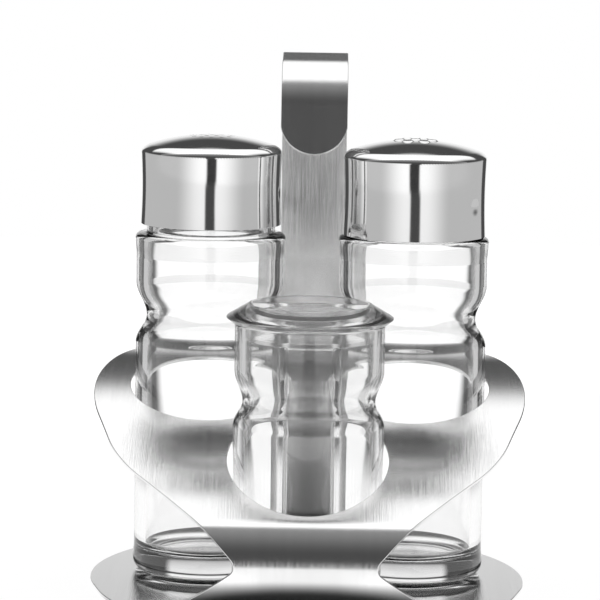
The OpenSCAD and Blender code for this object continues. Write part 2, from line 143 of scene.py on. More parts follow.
# Brightness of each light, and the angles in degrees where it lies or fades: arch goes from the front
# over the top to the back, turn goes round the stand, and level is the height over the horizon
room_glow, panel_glow, front_glow, board_glow, backdrop_glow = 0.09, 1.4, 0.25, 0.6, 1.15
panel_arch, panel_soft, panel_side = (84, 140), 3, (0.5, 0.8)
front_rise, front_fall = (25, 85), (85, 100)
board_turn, board_soft, beside_turn, beside_fade = (8, 138), 2, (8, 90), (14, 60)
board_level, backdrop_turn, backdrop_level = (-3, 14), (157, 163), (8, 24)


def boards(turn):
    """How bright the low boards are, by the angle from the camera's side: a dark slit for the camera,
    white beside it, grey round the sides, a dark gap and the white backdrop."""
    around = board_glow * turn.within(*board_turn, board_soft)
    beside = board_glow * turn.within(*beside_turn, board_soft) * (1 - turn.rise(*beside_fade))
    return around + beside + backdrop_glow * turn.rise(*backdrop_turn)


world = bpy.data.worlds.new("studio")
bpy.context.scene.world = world
shader, world_out = fresh_tree(world, "ShaderNodeOutputWorld")
right, away, up = shader.node("TexCoord", out="Generated").parts()
side = right.math("ABSOLUTE")
arch, turn = from_front(up, away), from_front(side, away)
level = up.math("ARCSINE") * (180 / math.pi)
overhead = arch.within(*panel_arch, panel_soft) * (1 - side.rise(*panel_side))
above_lens = arch.rise(*front_rise) * (1 - arch.rise(*front_fall))
low = 1 - level.rise(*board_level)
back = turn.rise(*backdrop_turn) * (1 - level.rise(*backdrop_level)) * level.rise(*board_level)
glow = room_glow + panel_glow * overhead + front_glow * above_lens + low * boards(turn) + back
light = shader.node("Background", {"Strength": glow})
plain = shader.node("Background", {"Strength": 1.0, "Color": (1, 1, 1, 1)})
sky = shader.node("MixShader", {0: ray(shader, "Camera"), 1: light, 2: plain})
world.node_tree.links.new(sky.socket, world_out.inputs[0])

# The table shows white to the camera and, to steel and glass, painted light from the boards: bright near
# the stand and towards the camera. Its near side has painted shade of the stand, seen in reflections.
# Lengths are in metres.
table_r, table_drop, table_sides = 0.9, 0.0002, 96
table_tone, paper_glow, paper_share = 0.86, 1.07, 0.9
# Reach and turn of the painted pool of light on the table, then of the painted shade in front of the stand
apron_reach, front_reach, apron_turn = (0.16, 0.24), (0.4, 0.65), (20, 30)
shade_reach, shade_front = (0.068, 0.09), (0.02, 0.05)

edge_turn = np.linspace(0, 2 * np.pi, table_sides, endpoint=False)
table_edge = np.stack([table_r * np.cos(edge_turn), table_r * np.sin(edge_turn),
                       np.full(table_sides, -table_drop)], -1)
table_mesh = bpy.data.meshes.new("table")
table_mesh.from_pydata(table_edge.tolist(), [], [list(range(table_sides))])
table = bpy.data.objects.new("table", table_mesh)
bpy.context.collection.objects.link(table)
table_paint = bpy.data.materials.new("table_paint")
shader, table_out = fresh_tree(table_paint, "ShaderNodeOutputMaterial")
direct, glossy, through = [ray(shader, kind) for kind in ("Camera", "Glossy", "Transmission")]
right, away, _ = shader.node("TexCoord", out="Object").parts()
reach = (right * right + away * away).math("SQRT")
turn = from_front(right.math("ABSOLUTE"), away)
# Painted pool of light on the table, near the stand and towards the camera
painted_apron_light = (1 - reach.rise(*apron_reach)).most((1 - turn.rise(*apron_turn)) * (1 - reach.rise(*front_reach)))
# Painted shade of the stand: the table's glow dimmed just in front of the base, for glossy rays only
shade = glossy * (1 - reach.rise(*shade_reach)) * (-away).rise(*shade_front)
# Emission level: plain white for the camera, painted light and painted shade for reflections and refraction
paper_and_painted_light = direct.most(painted_apron_light.most(boards(turn))) * (1 - shade)
matte = shader.node("BsdfDiffuse", {"Color": (table_tone, table_tone, table_tone, 1)})
paper_and_painted_light_grey = shader.node("CombineXYZ", {0: paper_and_painted_light, 1: paper_and_painted_light, 2: paper_and_painted_light})
white = shader.node("Emission", {"Color": paper_and_painted_light_grey, "Strength": paper_glow})
shown = direct.most(glossy.most(through)) * paper_share
surface = shader.node("MixShader", {0: shown, 1: matte, 2: white})
shader.tree.links.new(surface.socket, table_out.inputs[0])
table_mesh.materials.append(table_paint)


# Bent sheet
# One brushed steel sheet, cut as a flat blank and bent once over its narrow neck: the round part lies
# on the table, and the other runs back as a sloping tray with a hole for each glass.

def polar(radius, degrees):
    """Points at a radius and an angle, as (n, 2) or (2,)."""
    turned_by = np.radians(degrees)
    return np.stack([radius * np.cos(turned_by), radius * np.sin(turned_by)], -1)


def unit(vectors):
    """Each vector divided by its length."""
    return vectors / np.linalg.norm(vectors, axis=-1, keepdims=True)


def arc(centre, radius, start, end, step=3):
    """Points along a circle from one angle to another, a step of degrees apart or a little less."""
    count = max(2, int(abs(end - start) / step) + 1)
    return np.array(centre) + polar(radius, np.linspace(start, end, count + 1))


def meet(p, a, q, b):
    """Where the line through p at angle a meets the line through q at angle b."""
    u, v, w = polar(1, a), polar(1, b), np.array(q) - p
    return np.array(p) + u * (w[0] * v[1] - w[1] * v[0]) / (u[0] * v[1] - u[1] * v[0])


def round_corner(p, a, b, radius):
    """The corner at p, between a line coming in at angle a and one going out at angle b, as an arc."""
    way = math.copysign(1, math.sin(math.radians(b - a)))
    reach = radius * math.tan(math.radians(abs(b - a) / 2))
    centre = np.array(p) - polar(reach, a) + polar(radius, a + way * 90)
    return arc(centre, radius, a - way * 90, b - way * 90)


def evenly(points, step):
    """A closed line resampled at equal steps along its length."""
    closed = np.vstack([points, points[:1]])
    along = np.concatenate([[0], np.cumsum(np.linalg.norm(np.diff(closed, axis=0), axis=1))])
    at = np.linspace(0, along[-1], int(along[-1] / step), endpoint=False)
    return np.stack([np.interp(at, along, closed[:, 0]), np.interp(at, along, closed[:, 1])], -1)


def grid(widths, lengths):
    """A point at every width and every length, as (n, 2)."""
    w, u = np.meshgrid(widths, lengths)
    return np.stack([w.ravel(), u.ravel()], -1)


def covered(points, loops):
    """Which points lie inside the outline and outside the holes: an odd number of edges to their right."""
    odd = np.zeros(len(points), bool)
    for loop in loops:
        a, b = loop, np.roll(loop, -1, 0)
        x, y = points[:, :1], points[:, 1:]
        spans = (a[:, 1] > y) != (b[:, 1] > y)
        with np.errstate(divide="ignore", invalid="ignore"):
            cross = (b[:, 0] - a[:, 0]) * (y - a[:, 1]) / (b[:, 1] - a[:, 1]) + a[:, 0]
        odd ^= (np.sum(spans & (x < cross), axis=1) % 2).astype(bool)
    return odd


metres, map_scale = 0.001, 0.01


def mesh_object(name, points, faces, normals, flat, material):
    """A smooth mesh from arrays in millimetres, with the given normals and a map of the flat blank, on
    which one unit is 100 mm."""
    mesh = bpy.data.meshes.new(name)
    mesh.from_pydata((points * metres).tolist(), [], faces)
    mesh.polygons.foreach_set("use_smooth", np.ones(len(mesh.polygons), bool))
    corner = np.empty(len(mesh.loops), int)
    mesh.loops.foreach_get("vertex_index", corner)
    mesh.uv_layers.new(name="blank").data.foreach_set("uv", (flat[corner] * map_scale).ravel())
    mesh.normals_split_custom_set_from_vertices(normals.tolist())
    mesh.materials.append(material)
    made = bpy.data.objects.new(name, mesh)
    bpy.context.collection.objects.link(made)
    return made


rim_clearance, merge_limit = 2.2, 1e-6


def blank_piece(name, face, loops, inside, wall, edge, material, probe=0.001):
    """Sheet metal cut flat and then shaped. face(p) places points of the flat blank on the outer face;
    the inner face lies a wall's thickness below it along the normal, and each rim is a half circle
    squeezed to the edge radius: inset edge * (1 - sin a), normal turned by a from the face."""
    def shaped(p):
        across = (face(p + [probe, 0]) - face(p - [probe, 0])) / (2 * probe)
        along = (face(p + [0, probe]) - face(p - [0, probe])) / (2 * probe)
        return face(p), unit(np.cross(across, along)), across, along

    outward = []
    for loop in loops:
        way = unit(np.roll(loop, -1, 0) - np.roll(loop, 1, 0))
        outward.append(np.stack([way[:, 1], -way[:, 0]], -1))
    rim, out = np.vstack(loops), np.vstack(outward)
    upper_turns = np.radians([0, 30, 60, 90])
    lower_turns = upper_turns + np.pi / 2
    turns = np.concatenate([upper_turns, lower_turns])
    depths = np.concatenate([edge * (1 - np.cos(upper_turns)), wall - edge * (1 + np.cos(lower_turns))])
    near = np.min(np.linalg.norm(inside[:, None, :] - rim[None, ::2, :], axis=2), axis=1)
    kept = inside[covered(inside, loops) & (near > rim_clearance * edge)]
    points, normals, flat = [], [], []
    for a, depth in zip(turns, depths):
        p = rim - out * edge * (1 - math.sin(a))
        place, normal, across, along = shaped(p)
        sideways = unit(across * out[:, :1] + along * out[:, 1:])
        points.append(place - normal * depth)
        normals.append(math.cos(a) * normal + math.sin(a) * sideways)
        flat.append(p)
    place, normal, _, _ = shaped(kept)
    points += [place, place - normal * wall]
    normals += [normal, -normal]
    flat += [kept, kept]

    size, rows = len(rim), len(turns)
    top = np.vstack([flat[0], kept])
    start = np.cumsum([0] + [len(loop) for loop in loops])
    ring = [np.arange(a, b) for a, b in zip(start[:-1], start[1:])]
    edges = [(int(i), int(j)) for r in ring for i, j in zip(r, np.roll(r, -1))]
    result = delaunay_2d_cdt([tuple(map(float, p)) for p in top], edges, [], 0, merge_limit)
    if len(result[0]) != len(top):
        raise ValueError(f"{name}: the flat blank's points merge")
    tri = np.array([f[:] for f in result[2]])
    tri = tri[covered(top[tri].mean(1), [top[r] for r in ring])]
    upper = np.where(tri < size, tri, tri - size + rows * size)
    lower = np.where(tri < size, tri + (rows - 1) * size, tri - size + rows * size + len(kept))
    faces = upper.tolist() + lower[:, ::-1].tolist()
    for a in ring:
        b = np.roll(a, -1)
        for k in range(rows - 1):
            above, below = k * size, (k + 1) * size
            faces += np.stack([a + above, a + below, b + below, b + above], -1).tolist()
    return mesh_object(name, np.vstack(points), faces, np.vstack(normals), np.vstack(flat), material)


sheet, sheet_edge = 1.0, 0.22
base_r, bend_r = 64.5, 16.0
tray_slope, tray_arc_r, tray_back_slope = 30.5, 255.0, 10.0
tray_r, tray_centre_y, tray_back_gap, tray_corner_r = 64.2, 7.0, 19.5, 10.0
neck_half_w, neck_round, neck_up, neck_low, neck_turn = 20.2, 2.5, 41.0, 54.5, 3.0
tray_shoulder_r, base_shoulder_r, base_flank, tray_flank = 48.0, 70.0, 14.0, 15.5
shaker_x, shaker_y, shaker_hole_r = 30.2, 10.0, 23.4
rivet_x, rivet_r = 5.0, 1.6
jar_r, jar_bulge_r, jar_front_gap, jar_hole_gap = 21.5, 21.8, 11.0, 1.5
outline_step, width_end, width_count, length_step = 0.8, 65.0, 66, 1.2

jar_y, jar_hole_r = base_r - jar_front_gap - jar_r, jar_bulge_r + jar_hole_gap
tray_back_y = base_r - tray_back_gap
bend_start = base_r - bend_r
bend_c, bend_end = np.array([-bend_start, bend_r]), 90 + tray_slope
bend_mid, tray_mid = bend_r - sheet / 2, tray_arc_r - sheet / 2
tray_c = bend_c - polar(tray_arc_r - bend_r, bend_end)
level_end = 90 + tray_back_slope
level_start = tray_c + polar(tray_arc_r, level_end)
level_r = (tray_back_y - level_start[0]) / math.sin(math.radians(tray_back_slope))
level_c, level_mid = level_start - polar(level_r, level_end), level_r - sheet / 2
neck_at = 180 - neck_turn
base_len = bend_mid * math.radians(270 - neck_at)
rise_len = bend_mid * math.radians(neck_at - bend_end)
tray_len = rise_len + tray_mid * math.radians(bend_end - level_end)


def bent(p):
    """Flat (half width, length from the neck) to the outer face: straight under the base, then round
    three arcs of constant radius for the bend, the tray and its levelling back."""
    w, u = p[:, 0], p[:, 1]
    y, z = -bend_start - base_len - u, np.zeros(len(u))
    for low, centre, radius, mid, first in ((-base_len, bend_c, bend_r, bend_mid, 270),
                                            (rise_len, tray_c, tray_arc_r, tray_mid, bend_end),
                                            (tray_len, level_c, level_r, level_mid, level_end)):
        on = u > low
        at = polar(radius, first - np.degrees((u[on] - low) / mid))
        y[on], z[on] = centre[0] + at[:, 0], centre[1] + at[:, 1]
    return np.stack([w, y, z], -1)


def on_base(p):
    """Plan (x, y) on the base to the flat blank."""
    return np.stack([p[:, 0], -bend_start - base_len - p[:, 1]], -1)


def on_tray(p):
    """Plan (x, y) on the tray to the flat blank, along the two arcs of its side view."""
    a = np.degrees(np.arccos(np.clip((p[:, 1] - tray_c[0]) / tray_mid, -1, 1)))
    b = np.degrees(np.arccos(np.clip((p[:, 1] - level_c[0]) / level_mid, -1, 1)))
    first = rise_len + tray_mid * np.radians(bend_end - a)
    second = tray_len + level_mid * np.radians(level_end - b)
    return np.stack([p[:, 0], np.where(a > level_end, first, second)], -1)


base_touch = on_base(polar(base_r, np.array([-base_flank])))[0]
tray_touch = on_tray(np.array([0, tray_centre_y]) + polar(tray_r, np.array([-tray_flank])))[0]
neck_excess = neck_round * (1 / math.cos(math.radians((neck_up + neck_low) / 2)) - 1)
neck_p = np.array([neck_half_w - neck_excess, 0])
base_p = meet(neck_p, 90 + neck_low - 180, base_touch, 90 + base_flank)
tray_p = meet(neck_p, 90 - neck_up, tray_touch, 90 - tray_flank)
corner_y = tray_back_y - tray_corner_r
corner_x = math.sqrt((tray_r - tray_corner_r) ** 2 - (corner_y - tray_centre_y) ** 2)
corner_turn = math.degrees(math.atan2(corner_y - tray_centre_y, corner_x))
right_side = np.vstack([
    on_base(arc((0, 0), base_r, 90, -base_flank, 1)),
    round_corner(base_p, 90 + base_flank, 90 + neck_low, base_shoulder_r),
    round_corner(neck_p, 90 + neck_low, 90 - neck_up, neck_round),
    round_corner(tray_p, 90 - neck_up, 90 - tray_flank, tray_shoulder_r),
    on_tray(arc((0, tray_centre_y), tray_r, -tray_flank, corner_turn, 1)),
    on_tray(arc((corner_x, corner_y), tray_corner_r, corner_turn, 90, 3))])
outline = evenly(np.vstack([right_side, right_side[::-1] * [-1, 1]]), outline_step)
shaker_holes = [on_tray(arc((s * shaker_x, shaker_y), shaker_hole_r, 360, 0, 2)[:-1]) for s in (-1, 1)]
jar_hole = on_tray(arc((0, -jar_y), jar_hole_r, 360, 0, 2)[:-1])
foot_len, foot_bend, strap_t, strap_gap = 15.0, 3.5, 1.5, 6.5
strap_back = tray_back_y + strap_gap + strap_t
rivet_y = strap_back - foot_bend - (foot_len - foot_bend) / 2
rivet_holes = [on_base(arc((s * rivet_x, rivet_y), rivet_r, 0, 360, 12)[:-1]) for s in (-1, 1)]
sheet_loops = [outline, *shaker_holes, jar_hole, *rivet_holes]
sheet_inside = grid(np.linspace(-width_end, width_end, width_count),
                    np.arange(outline[:, 1].min(), outline[:, 1].max(), length_step))

# Lines per unit of the flat blank, across the brushing and along it, from the finest to the broadest
brush_lines = ((700, 4), (240, 1.2), (30, 0.6))
brush_fine, brush_strength, brush_depth = 0.82, 0.25, 0.0001
tone_spread, rough_spread = 0.04, 0.06


def brushed_steel(name, tone, rough):
    """Steel with fine lines: noise stretched along the brushing, as bump and as a little roughness."""
    material = bpy.data.materials.new(name)
    shader, out = fresh_tree(material, "ShaderNodeOutputMaterial")
    blank = shader.node("UVMap", uv_map="blank")
    stretched = [shader.node("Mapping", {0: blank, "Scale": (*scales, 1)}) for scales in brush_lines]
    fine, middle, broad = [shader.node("TexNoise", {"Vector": spot, "Scale": 1, "Detail": 2},
                                       noise_dimensions="2D") for spot in stretched]
    height = fine * brush_fine + middle * (1 - brush_fine)
    bump = shader.node("Bump", {"Height": height, "Strength": brush_strength, "Distance": brush_depth})
    dull, bright = [(tone + spread,) * 3 + (1,) for spread in (-tone_spread, tone_spread)]
    shade = shader.node("Mix", {"Factor": broad, 6: dull, 7: bright}, data_type="RGBA", out=2)
    steel = shader.node("BsdfPrincipled", {
        "Base Color": shade, "Metallic": 1.0, "Roughness": rough + (middle - 0.5) * rough_spread,
        "Normal": bump})
    shader.tree.links.new(steel.socket, out.inputs[0])
    return material


sheet_steel = brushed_steel("sheet_steel", 0.91, 0.16)
tray_sheet = blank_piece("tray_sheet", bent, sheet_loops, sheet_inside, sheet, sheet_edge, sheet_steel)
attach(tray_sheet, "stand")
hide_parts("stand_sheet")

# Handle
# A flat steel strap with half-round ends: riveted to the base by a short foot, it stands up behind the
# tray and is bent forward over the top into a hook for the fingers.

strap_w, strap_edge, strap_outline_step = 20.0, 0.3, 0.5
strap_width_end, strap_width_count, strap_length_start, strap_length_step = 9.0, 13, 0.5, 0.7
handle_h, hook_back_r, hook_top_slope, hook_top_len = 154.6, 6.5, 11.0, 7.0
hook_front_r, hook_front_slope, hook_leg_r, hook_leg_slope, hook_tip_h = 21.0, 48.0, 14.0, 78.0, 125.3
end_r = 10.2

top_turn, front_turn, leg_turn = 90 + hook_top_slope, 90 + hook_front_slope, 90 + hook_leg_slope
back_c = np.array([strap_back - hook_back_r, handle_h - hook_back_r])
top_end = back_c + polar(hook_back_r, top_turn) + polar(hook_top_len, top_turn + 90)
front_c = top_end - polar(hook_front_r, top_turn)
leg_c = front_c + polar(hook_front_r - hook_leg_r, front_turn)
leg_top = leg_c + polar(hook_leg_r, leg_turn)
leg_len = (leg_top[1] - hook_tip_h) / math.sin(math.radians(hook_leg_slope))
upright_len = back_c[1] - sheet - foot_bend
# Each stretch of the strap: where its outer face starts, its direction, its length and how far it turns
stretches = [(np.array([strap_back - foot_len, sheet]), 0, foot_len - foot_bend, 0)]


def add_stretch(length, turn):
    """Carry the strap on by a straight length, or round a bend of that outer length and turn."""
    start, way, before, turned_by = stretches[-1]
    if turned_by:
        radius = before / math.radians(turned_by)
        start = start + polar(radius, way + 90) - polar(radius, way + 90 + turned_by)
    else:
        start = start + polar(before, way)
    stretches.append((start, way + turned_by, length, turn))


# A bend's outer radius and turn, or 0 and a straight length
for radius, amount in ((foot_bend, 90), (0, upright_len), (hook_back_r, top_turn), (0, hook_top_len),
                       (hook_front_r, front_turn - top_turn), (hook_leg_r, leg_turn - front_turn),
                       (0, leg_len)):
    if radius:
        add_stretch(radius * math.radians(amount), amount)
    else:
        add_stretch(amount, 0)
strap_len = sum(length for _, _, length, _ in stretches)


def strapped(p):
    """Flat (half width, length from the foot's end) to the strap's outer face: straight stretches, and
    arcs along which the direction turns evenly."""
    y, z, low = np.zeros(len(p)), np.zeros(len(p)), -np.inf
    s = 0.0
    for start, way, length, turned_by in stretches:
        on = p[:, 1] >= low
        t = p[on, 1] - s
        if turned_by:
            radius = length / math.radians(turned_by)
            at = start + polar(radius, way + 90) - polar(radius, way + 90 + np.degrees(t / radius))
        else:
            at = start + polar(1, way) * t[:, None]
        y[on], z[on] = at[:, 0], at[:, 1]
        s += length
        low = s
    return np.stack([-p[:, 0], y, z], -1)


end_turn = math.degrees(math.acos(strap_w / 2 / end_r))
strap_outline = evenly(np.vstack([
    arc((0, end_r), end_r, 180 + end_turn, 360 - end_turn, 2),
    arc((0, strap_len - end_r), end_r, end_turn, 180 - end_turn, 2)]), strap_outline_step)
foot_rivet = rivet_y - (strap_back - foot_len)
strap_holes = [arc((s * rivet_x, foot_rivet), rivet_r, 360, 0, 12)[:-1] for s in (-1, 1)]
strap_inside = grid(np.linspace(-strap_width_end, strap_width_end, strap_width_count),
                    np.arange(strap_length_start, strap_len, strap_length_step))
strap_steel = brushed_steel("strap_steel", 0.9, 0.21)
strap = blank_piece("strap", strapped, [strap_outline, *strap_holes], strap_inside, strap_t, strap_edge,
                    strap_steel)
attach(strap, "stand")
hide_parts("handle_strap")

# Rivets
# Two solid steel rivets join the strap's foot to the base. Their heads are low and round, and their
# closed ends are flush with the underside.

on_axis = 1e-9


def turned_piece(name, outlines, centres, material, around=160):
    """Outlines (radius, height) spun about upright axes. A point's normal is the mean of its two
    neighbouring stretches' normals, and an outline that starts or ends on the axis is closed by a pole."""
    points, normals, flat, faces, count = [], [], [], [], 0
    angle = np.linspace(0, 360, around, endpoint=False)
    for profile, centre in zip(outlines, centres):
        way = unit(np.diff(np.vstack([profile[-1:], profile, profile[:1]]), axis=0))
        out = np.stack([way[:, 1], -way[:, 0]], -1)
        mean = unit(out[:-1] + out[1:])
        mean[profile[:, 0] < on_axis] = [0, 1]
        mean[0] = [0, -1] if profile[0, 0] < on_axis else mean[0]
        rows = []
        for (radius, height), (nr, nz) in zip(profile, mean):
            n = around if radius > on_axis else 1
            ring = polar(radius, angle[:n])
            points.append(np.column_stack([ring, np.full(n, height)]) + centre)
            normals.append(np.column_stack([polar(nr, angle[:n]), np.full(n, nz)]))
            flat.append(np.column_stack([np.radians(angle[:n]) * radius, np.full(n, height)]))
            rows.append(np.arange(count, count + n))
            count += n
        closed = profile[0, 0] > on_axis
        for a, b in zip(rows, rows[1:] + rows[:1] if closed else rows[1:]):
            if len(a) == 1 and len(b) == 1:
                continue
            if len(a) == 1:
                faces += np.column_stack([np.full(len(b), a[0]), np.roll(b, -1), b]).tolist()
            elif len(b) == 1:
                faces += np.column_stack([a, np.roll(a, -1), np.full(len(a), b[0])]).tolist()
            else:
                faces += np.column_stack([a, np.roll(a, -1), np.roll(b, -1), b]).tolist()
    return mesh_object(name, np.vstack(points), faces, np.vstack(normals), np.vstack(flat), material)


rivet_head_r, rivet_head_h, rivet_head_edge, rivet_sides = 2.8, 0.9, 0.1, 48
head_low = sheet + strap_t
head_ball = (rivet_head_r ** 2 + rivet_head_h ** 2) / (2 * rivet_head_h)
head_lean = math.degrees(math.asin(rivet_head_r / head_ball))
rivet_line = np.vstack([
    [(0, 0), (rivet_r, 0), (rivet_r, head_low), (rivet_head_r - rivet_head_edge, head_low)],
    arc((0, head_low + rivet_head_h - head_ball), head_ball, 90 - head_lean, 90, 4)])
rivet_places = [(s * rivet_x, rivet_y, 0) for s in (-1, 1)]
rivet_steel = brushed_steel("rivet_steel", 0.68, 0.28)
rivets = turned_piece("rivets", [rivet_line] * 2, rivet_places, rivet_steel, rivet_sides)
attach(rivets, "stand")
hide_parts("handle_rivets")

# Shakers
# Two pressed glass shakers with thick walls and a heavy bottom. A waist is pressed in near the top for
# the fingers, and a narrower neck carries the cap.

glass_r, glass_rim_r, glass_wall, glass_floor = 22.1, 22.4, 3.4, 6.0
glass_h, glass_round, shoulder_round = 101.6, 3.4, 1.6
flare_len, rim_flare_h, foot_flare_h, flare_lead, waist_span = 5.0, 94.6, 9.0, 0.2, (67, 89)
waist_r, waist_h, waist_up, waist_low = 18.9, 77.0, 10.0, 8.0
neck_r, neck_wall, neck_h = 19.1, 2.4, 17.6
short_step, long_step, same_point, wall_points, end_points = 0.25, 1.2, 1e-4, 60, 12
straight_heights = [20, 40, 60]
foot_hollow = [(0, 1), (16.6, 1), (17.4, 0.6), (18, 0)]
swirl_scale, swirl_strength, swirl_depth = 90, 0.05, 0.0002


def smooth(t):
    """0 to 1 along half a cosine."""
    return (1 - np.cos(np.pi * np.clip(t, 0, 1))) / 2


def dip(z, at, up, low, depth):
    """How far a waist draws the wall in: a cosine valley, up long above its narrowest ring, low below."""
    return depth * (1 - smooth(np.where(z > at, (z - at) / up, (at - z) / low)))


def line(*pieces):
    """Join lists of (radius, height) into one outline, with short steps beside each corner so that
    roundings shade cleanly."""
    points = np.vstack([np.atleast_2d(np.array(p, float)) for p in pieces])
    points = points[np.concatenate([[True], np.linalg.norm(np.diff(points, axis=0), axis=1) > same_point])]
    out = [points[:1]]
    for a, b in zip(points[:-1], points[1:]):
        length = np.linalg.norm(b - a)
        beside = short_step / length
        t = np.array([beside, 1 - beside, 1]) if length > long_step else np.array([1.0])
        out.append(a + (b - a) * t[:, None])
    return np.vstack(out)


def shaker_wall(z):
    """The body's radius at height z: straight, with the waist drawn in and both ends a little fuller."""
    ends = 1 - smooth((z - glass_round) / flare_len) + smooth((z - rim_flare_h) / flare_len)
    waist = dip(z, waist_h, waist_up, waist_low, glass_r - waist_r)
    return glass_r + (glass_rim_r - glass_r) * ends - waist


heights = np.concatenate([np.linspace(glass_round, foot_flare_h, 10), straight_heights,
                          np.linspace(*waist_span, wall_points),
                          np.linspace(rim_flare_h - flare_lead, glass_h - shoulder_round, end_points)])
inner = np.linspace(*waist_span[::-1], wall_points)
inner_turn = np.radians(np.linspace(0, 90, end_points))
shoulder_r = neck_r + (glass_rim_r - neck_r) / 4
bore_r, bore_neck_r = glass_r - glass_wall, neck_r - neck_wall
shaker_line = line(
    foot_hollow,
    arc((glass_rim_r - glass_round, glass_round), glass_round, -90, 0, 8),
    np.stack([shaker_wall(heights), heights], -1),
    arc((glass_rim_r - shoulder_round, glass_h - shoulder_round), shoulder_round, 0, 80, 8),
    [(shoulder_r, glass_h), (neck_r, glass_h + (shoulder_r - neck_r) / 2)],
    arc((neck_r - neck_wall / 2, glass_h + neck_h - neck_wall / 2), neck_wall / 2, 0, 180, 15),
    np.stack([bore_neck_r + (bore_r - bore_neck_r) * (1 - np.cos(inner_turn)),
              glass_h + neck_wall / 2 - (shoulder_round + neck_wall / 2) * np.sin(inner_turn)], -1),
    np.stack([shaker_wall(inner) - glass_wall, inner], -1),
    arc((bore_r - glass_round, glass_floor + glass_round), glass_round, 0, -90, 8),
    [(0, glass_floor)])


def clear(name, tone, index, rough, passes=1.0):
    """A clear solid: light passes and bends in it, and its surface shines. A share that does not pass
    is scattered, which makes the solid a little milky."""
    material = bpy.data.materials.new(name)
    shader, out = fresh_tree(material, "ShaderNodeOutputMaterial")
    spot = shader.node("TexCoord", out="Object")
    swirl = shader.node("TexNoise", {"Vector": spot, "Scale": swirl_scale, "Detail": 1})
    bump = shader.node("Bump", {"Height": swirl, "Strength": swirl_strength, "Distance": swirl_depth})
    solid = shader.node("BsdfPrincipled", {
        "Base Color": (tone, tone, tone, 1), "Roughness": rough, "IOR": index,
        "Transmission Weight": passes, "Normal": bump})
    shader.tree.links.new(solid.socket, out.inputs[0])
    return material


clear_glass = clear("clear_glass", 0.985, 1.5, 0.0)
for side_name, side_x in (("left", -shaker_x), ("right", shaker_x)):
    place = (side_x, shaker_y, sheet)
    glass = turned_piece(side_name + "_shaker_glass", [shaker_line], [place], clear_glass)
    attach(glass, side_name + "_shaker")
    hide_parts(side_name + "_bottle")

# Caps
# Each cap is one cup of polished steel, pressed thin, with a low dome, holes in rings, and two dimples
# pressed into its side towards the neck. The left one has a shorter skirt and finer holes.

cap_wall, cap_edge, cap_ball, cap_shoulder, cap_round = 0.6, 0.15, 60.0, 5.0, 1.4
cap_edge_turn, cap_waist = 50.0, 0.3
dimple_r, dimple_depth, dimple_h = 2.8, 0.45, 9.5
lip_h, lip_w, side_points = 0.4, 0.8, 200
ripple_scale, ripple_strength, ripple_depth = 60, 0.06, 0.0005
polish_scale, polish_rough, polish_spread = 400, 0.05, 0.04


def cap_face(radius, height, turn, centre, lips, lip_r):
    """The cap's outer face over its flat disc: the distance from the disc's centre runs along the side
    view, a ball's arc, a shoulder, a tight edge and the side with its slight waist, and the direction
    stays. Each arc's centre lies on the line where it meets the arc before it. Round each of the lips'
    centres the face rises in half a cosine to the edge of the hole."""
    ball_c = np.array([0, height - cap_ball])
    shoulder_x = radius - cap_round - (cap_shoulder - cap_round) * math.sin(math.radians(cap_edge_turn))
    lean = math.degrees(math.asin(shoulder_x / (cap_ball - cap_shoulder)))
    shoulder_c = ball_c + polar(cap_ball - cap_shoulder, 90 - lean)
    edge_c = shoulder_c + polar(cap_shoulder - cap_round, 90 - cap_edge_turn)
    side_h = edge_c[1]
    z = np.linspace(side_h, 0, side_points)
    view = np.vstack([arc(ball_c, cap_ball, 90, 90 - lean, 0.1),
                      arc(shoulder_c, cap_shoulder, 90 - lean, 90 - cap_edge_turn, 1),
                      arc(edge_c, cap_round, 90 - cap_edge_turn, 0, 2),
                      np.stack([radius - cap_waist * np.sin(np.pi * z / side_h), z], -1)])
    along = np.concatenate([[0], np.cumsum(np.linalg.norm(np.diff(view, axis=0), axis=1))])

    def face(p):
        s = np.linalg.norm(p, axis=1)
        way = p / np.maximum(s, on_axis)[:, None]
        r, z = np.interp(s, along, view[:, 0]), np.interp(s, along, view[:, 1])
        for a in (turn, turn + 180):
            dx = np.radians((np.degrees(np.arctan2(p[:, 1], p[:, 0])) - a + 180) % 360 - 180) * radius
            near = np.hypot(dx, z - dimple_h) / dimple_r
            r = r - dimple_depth * (1 - smooth(near))
        for lip in lips:
            z = z + lip_h * (1 - smooth((np.linalg.norm(p - lip, axis=1) - lip_r) / lip_w))
        return np.column_stack([way * r[:, None], z]) + centre
    return face, along[-1]


def chrome(name, tone):
    """Polished steel, with faint ripples left by the pressing."""
    material = bpy.data.materials.new(name)
    shader, out = fresh_tree(material, "ShaderNodeOutputMaterial")
    spot = shader.node("TexCoord", out="Object")
    ripple = shader.node("TexNoise", {"Vector": spot, "Scale": ripple_scale, "Detail": 1})
    bump = shader.node("Bump", {"Height": ripple, "Strength": ripple_strength, "Distance": ripple_depth})
    polish = shader.node("TexNoise", {"Vector": spot, "Scale": polish_scale, "Detail": 3})
    steel = shader.node("BsdfPrincipled", {
        "Base Color": (tone, tone, tone, 1), "Metallic": 1.0,
        "Roughness": polish_rough + polish * polish_spread, "Normal": bump})
    shader.tree.links.new(steel.socket, out.inputs[0])
    return material


polished_steel = chrome("polished_steel", 0.84)
# Spacing of the mesh points over the disc, finer for fine_zone on both sides of the edge, with at most
# most_around points in a ring and a few rings of points on each hole's lip
disc_step, fine_step, fine_zone, skirt_clearance, ring_shift = 0.7, 0.3, 3, 0.4, 11
least_around, most_around, around_per_mm, lip_rings = 8, 180, 7, (0.4, 0.6, 0.8)
